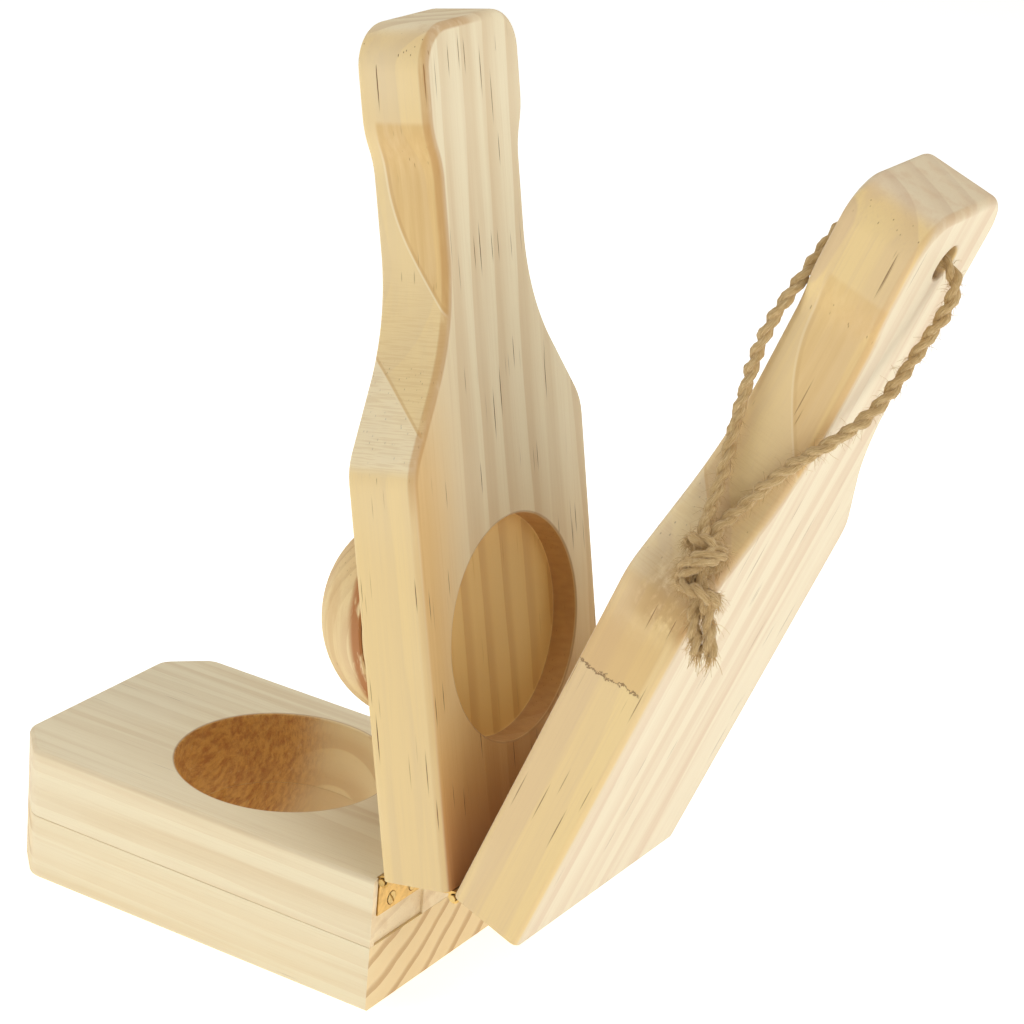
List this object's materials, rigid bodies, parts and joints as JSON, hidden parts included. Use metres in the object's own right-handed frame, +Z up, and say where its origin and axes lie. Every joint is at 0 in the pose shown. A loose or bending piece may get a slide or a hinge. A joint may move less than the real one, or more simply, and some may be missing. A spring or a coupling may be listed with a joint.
{
  "type": "folding plantain press",
  "caption": "Hinged pine press for shaping fried plantain: a block base with a round cup and bottle-shaped paddles that fold over it, with a domed plunger and a hanging twine.",
  "frame": {"origin": "under the middle of the press, measured without its twine, on the surface it stands on", "axes": "+Z up; +X from the cup end of the base towards its hinged end; the hinge axes run along Y"},
  "size_m": [0.2738, 0.099, 0.2843],
  "materials": {
    "pale_pine": "sanded, unvarnished",
    "warm_pine": "sanded, unvarnished",
    "plunger_pine": "turned and sanded",
    "dowel_wood": "plain",
    "hinge_brass": "bright",
    "brassed_steel": "plated steel",
    "jute": "rough two-ply twine"
  },
  "bodies": {
    "base": {"base_lower_board": "warm_pine", "base_upper_board": "pale_pine", "lower_hinge_near_base_leaf": "hinge_brass", "lower_hinge_near_pin": "brassed_steel", "lower_hinge_near_base_screw_1": "brassed_steel", "lower_hinge_near_base_screw_2": "brassed_steel", "lower_hinge_far_base_leaf": "hinge_brass", "lower_hinge_far_pin": "brassed_steel", "lower_hinge_far_base_screw_1": "brassed_steel", "lower_hinge_far_base_screw_2": "brassed_steel"},
    "middle": {"middle_paddle": "pale_pine", "plunger_disc": "plunger_pine", "plunger_dome": "plunger_pine", "plunger_dowel": "dowel_wood", "lower_hinge_near_middle_leaf": "hinge_brass", "lower_hinge_near_middle_screw_1": "brassed_steel", "lower_hinge_near_middle_screw_2": "brassed_steel", "lower_hinge_far_middle_leaf": "hinge_brass", "lower_hinge_far_middle_screw_1": "brassed_steel", "lower_hinge_far_middle_screw_2": "brassed_steel", "upper_hinge_near_middle_leaf": "hinge_brass", "upper_hinge_near_pin": "brassed_steel", "upper_hinge_near_middle_screw_1": "brassed_steel", "upper_hinge_near_middle_screw_2": "brassed_steel", "upper_hinge_far_middle_leaf": "hinge_brass", "upper_hinge_far_pin": "brassed_steel", "upper_hinge_far_middle_screw_1": "brassed_steel", "upper_hinge_far_middle_screw_2": "brassed_steel"},
    "top": {"top_paddle": "pale_pine", "upper_hinge_near_top_leaf": "hinge_brass", "upper_hinge_near_top_screw_1": "brassed_steel", "upper_hinge_near_top_screw_2": "brassed_steel", "upper_hinge_far_top_leaf": "hinge_brass", "upper_hinge_far_top_screw_1": "brassed_steel", "upper_hinge_far_top_screw_2": "brassed_steel", "twine_loop": "jute", "twine_knot": "jute", "twine_tail_1": "jute", "twine_tail_2": "jute"}
  },
  "joints": [
    {"name": "middle_hinge", "type": "hinge", "parent": "base", "child": "middle", "pos_m": [0.00361, 0, 0.0424], "axis": [0, 1, 0], "range_deg": [-79.7, 20]},
    {"name": "top_hinge", "type": "hinge", "parent": "middle", "child": "top", "pos_m": [0.02757, 0, 0.04594], "axis": [0, 1, 0], "range_deg": [-30.4, 50]}
  ]
}
